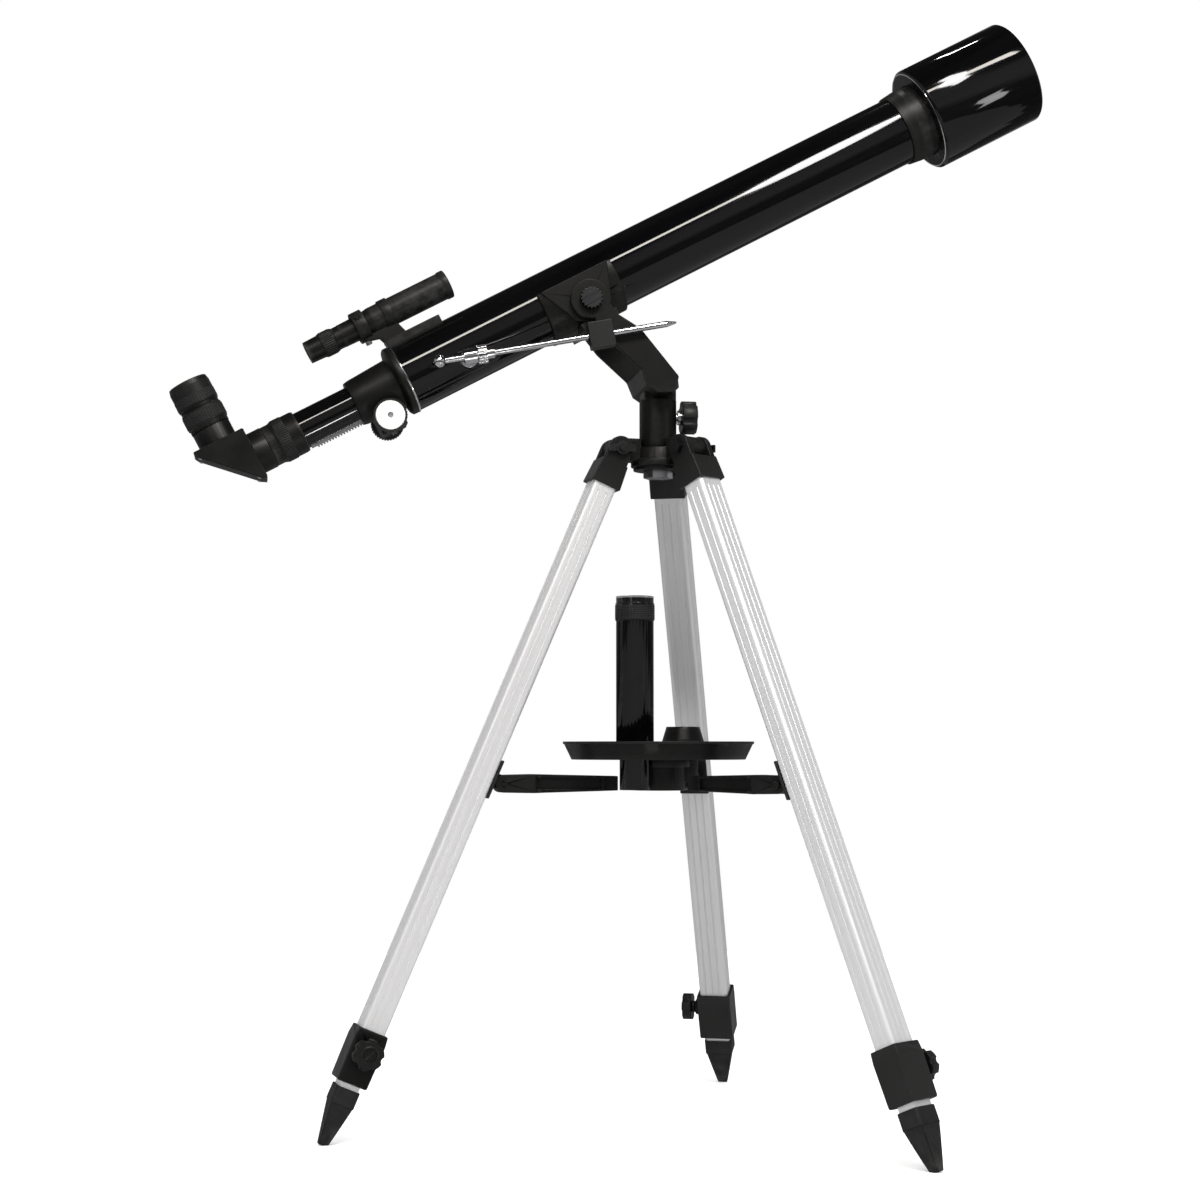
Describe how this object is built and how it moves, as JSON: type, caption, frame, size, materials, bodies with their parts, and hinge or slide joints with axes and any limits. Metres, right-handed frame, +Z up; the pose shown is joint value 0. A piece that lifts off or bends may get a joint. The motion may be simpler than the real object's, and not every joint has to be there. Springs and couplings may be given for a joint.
{
  "type": "telescope on tripod",
  "caption": "Refracting telescope with finder, star diagonal and rack focuser on an alt-azimuth fork and a folding aluminium tripod with accessory tray.",
  "frame": {"origin": "middle of the bottom of the bounding box, on the ground under the three feet", "axes": "+Z up, +X under the raised front of the telescope, +Y to its left"},
  "size_m": [0.7142, 0.4724, 0.9063],
  "materials": {
    "black_gloss": "high gloss enamel",
    "black_satin": "satin moulded",
    "black_metal": "satin powder coat",
    "aluminium": "satin anodised, ribbed",
    "chrome": "polished",
    "steel": "zinc plated",
    "cream": "gloss",
    "glass": "polished, coated",
    "rubber": "matt"
  },
  "bodies": {
    "head": {"tripod_head": "black_metal", "azimuth_spindle": "steel", "leg_hinge_fasteners": "steel"},
    "leg_rear": {"leg_rear_brackets": "black_satin", "leg_rear_upper_tube": "aluminium", "leg_rear_clamp": "black_satin"},
    "lower_leg_rear": {"leg_rear_lower_tube": "aluminium", "leg_rear_foot": "rubber"},
    "clamp_knob_rear": {"leg_rear_clamp_knob": "black_satin"},
    "spreader_rear": {"spreader_arm_rear": "black_satin"},
    "leg_left": {"leg_left_brackets": "black_satin", "leg_left_upper_tube": "aluminium", "leg_left_clamp": "black_satin"},
    "lower_leg_left": {"leg_left_lower_tube": "aluminium", "leg_left_foot": "rubber"},
    "clamp_knob_left": {"leg_left_clamp_knob": "black_satin"},
    "spreader_left": {"spreader_arm_left": "black_satin"},
    "leg_right": {"leg_right_brackets": "black_satin", "leg_right_upper_tube": "aluminium", "leg_right_clamp": "black_satin"},
    "lower_leg_right": {"leg_right_lower_tube": "aluminium", "leg_right_foot": "rubber"},
    "clamp_knob_right": {"leg_right_clamp_knob": "black_satin"},
    "spreader_right": {"spreader_arm_right": "black_satin"},
    "tray": {"accessory_tray": "black_satin", "tray_hub": "black_satin", "barlow_tube": "black_gloss", "spare_eyepiece": "black_satin", "accessory_lenses": "glass"},
    "yoke": {"yoke": "black_metal"},
    "azimuth_lock": {"azimuth_lock_stud": "chrome", "azimuth_lock_knob": "black_satin"},
    "swivel": {"rod_swivel_block": "black_satin"},
    "telescope": {"altitude_bolts": "steel", "main_tube": "black_gloss", "saddle": "black_metal", "lens_cell": "black_metal", "objective_lenses": "glass", "telescope_screws": "chrome", "baffles": "black_metal", "focuser_housing": "black_metal", "pinion_cover": "black_metal", "finder": "black_metal", "finder_lenses": "glass", "finder_bracket": "black_metal", "slow_motion_rod": "chrome"},
    "dew_cap": {"dew_cap": "black_gloss"},
    "rod_nut": {"rod_knob": "chrome"},
    "drawtube": {"drawtube": "black_gloss", "drawtube_collar": "black_metal", "focus_rack": "steel", "collar_screw": "chrome"},
    "pinion": {"focus_pinion": "steel", "focus_knobs": "black_satin", "focus_knob_faces": "cream"},
    "diagonal": {"diagonal_housing": "black_satin", "diagonal_prism": "glass", "diagonal_screw": "chrome"},
    "eyepiece": {"eyepiece": "black_satin", "eyepiece_lenses": "glass"}
  },
  "joints": [
    {"name": "leg_fold_rear", "type": "hinge", "parent": "head", "child": "leg_rear", "pos_m": [0.04687, 0.01387, 0.543], "axis": [-0.9272, 0.3746, 0], "range_deg": [0, 22.8]},
    {"name": "leg_slide_rear", "type": "slide", "parent": "leg_rear", "child": "lower_leg_rear", "axis": [0.1488, 0.3683, -0.9177], "range_m": [0, 0.36]},
    {"name": "clamp_screw_rear", "type": "hinge", "parent": "leg_rear", "child": "clamp_knob_rear", "pos_m": [0.11237, 0.20802, 0.07036], "axis": [-0.9272, 0.3746, 0], "range_deg": [0, 180]},
    {"name": "spreader_fold_rear", "type": "hinge", "parent": "leg_rear", "child": "spreader_rear", "pos_m": [0.08218, 0.10125, 0.27488], "axis": [-0.9272, 0.3746, 0], "range_deg": [-115, 0]},
    {"name": "leg_fold_left", "type": "hinge", "parent": "head", "child": "leg_left", "pos_m": [-0.0009, -0.02346, 0.543], "axis": [0.1392, -0.9903, 0], "range_deg": [0, 22.8]},
    {"name": "leg_slide_left", "type": "slide", "parent": "leg_left", "child": "lower_leg_left", "axis": [-0.3933, -0.0553, -0.9177], "range_m": [0, 0.36]},
    {"name": "clamp_screw_left", "type": "hinge", "parent": "leg_left", "child": "clamp_knob_left", "pos_m": [-0.20178, -0.06381, 0.07036], "axis": [0.1392, -0.9903, 0], "range_deg": [0, 180]},
    {"name": "spreader_fold_left", "type": "hinge", "parent": "leg_left", "child": "spreader_left", "pos_m": [-0.09422, -0.03657, 0.27488], "axis": [0.1392, -0.9903, 0], "range_deg": [-115, 0]},
    {"name": "leg_fold_right", "type": "hinge", "parent": "head", "child": "leg_right", "pos_m": [0.05531, -0.04616, 0.543], "axis": [0.788, 0.6157, 0], "range_deg": [0, 22.8]},
    {"name": "leg_slide_right", "type": "slide", "parent": "leg_right", "child": "lower_leg_right", "axis": [0.2445, -0.313, -0.9177], "range_m": [0, 0.36]},
    {"name": "clamp_screw_right", "type": "hinge", "parent": "leg_right", "child": "clamp_knob_right", "pos_m": [0.1907, -0.19996, 0.07036], "axis": [0.788, 0.6157, 0], "range_deg": [0, 180]},
    {"name": "spreader_fold_right", "type": "hinge", "parent": "leg_right", "child": "spreader_right", "pos_m": [0.11334, -0.12043, 0.27488], "axis": [0.788, 0.6157, 0], "range_deg": [-115, 0]},
    {"name": "tray_removal", "type": "slide", "parent": "head", "child": "tray", "axis": [-0.3746, -0.9272, 0], "range_m": [0, 0.242]},
    {"name": "azimuth", "type": "hinge", "parent": "head", "child": "yoke", "pos_m": [0.03376, -0.01858, 0.5454], "axis": [0, 0, 1], "continuous": true},
    {"name": "azimuth_lock_turn", "type": "hinge", "parent": "yoke", "child": "azimuth_lock", "pos_m": [0.05376, -0.01858, 0.571], "axis": [1, 0, 0], "range_deg": [0, 180]},
    {"name": "rod_swivel", "type": "hinge", "parent": "yoke", "child": "swivel", "pos_m": [-0.0189, -0.01858, 0.62979], "axis": [0, -1, 0], "range_deg": [-32, 38]},
    {"name": "altitude", "type": "hinge", "parent": "yoke", "child": "telescope", "pos_m": [-0.02624, -0.01858, 0.66], "axis": [0, -1, 0], "range_deg": [-30, 36]},
    {"name": "dew_cap_pull", "type": "slide", "parent": "telescope", "child": "dew_cap", "axis": [0.8829, 0, 0.4695], "range_m": [0, 0.1]},
    {"name": "fine_adjust_turn", "type": "hinge", "parent": "telescope", "child": "rod_nut", "pos_m": [-0.11478, -0.06208, 0.61168], "axis": [0.9826, 0, 0.1857], "continuous": true},
    {"name": "focus_travel", "type": "slide", "parent": "telescope", "child": "drawtube", "axis": [-0.8829, 0, -0.4695], "range_m": [-0.038, 0.048]},
    {"name": "focus_knob_turn", "type": "hinge", "parent": "telescope", "child": "pinion", "pos_m": [-0.1841, -0.01858, 0.56496], "axis": [0, -1, 0], "range_deg": [-360, 450]},
    {"name": "diagonal_turn", "type": "hinge", "parent": "drawtube", "child": "diagonal", "pos_m": [-0.27852, -0.01858, 0.54126], "axis": [0.8829, 0, 0.4695], "range_deg": [-90, 90]},
    {"name": "eyepiece_pull", "type": "slide", "parent": "diagonal", "child": "eyepiece", "axis": [-0.4695, 0, 0.8829], "range_m": [0, 0.03]}
  ],
  "couplings": [
    {"joint": "leg_fold_rear", "follows": "leg_fold_left", "ratio": 1},
    {"joint": "spreader_fold_rear", "follows": "leg_fold_left", "ratio": -4.9474},
    {"joint": "spreader_fold_left", "follows": "leg_fold_left", "ratio": -4.9474},
    {"joint": "leg_fold_right", "follows": "leg_fold_left", "ratio": 1},
    {"joint": "spreader_fold_right", "follows": "leg_fold_left", "ratio": -4.9474},
    {"joint": "tray_removal", "follows": "leg_fold_left", "m_per_rad": 0.60311},
    {"joint": "rod_swivel", "follows": "altitude", "ratio": 1},
    {"joint": "focus_knob_turn", "follows": "focus_travel", "rad_per_m": 156.25}
  ]
}
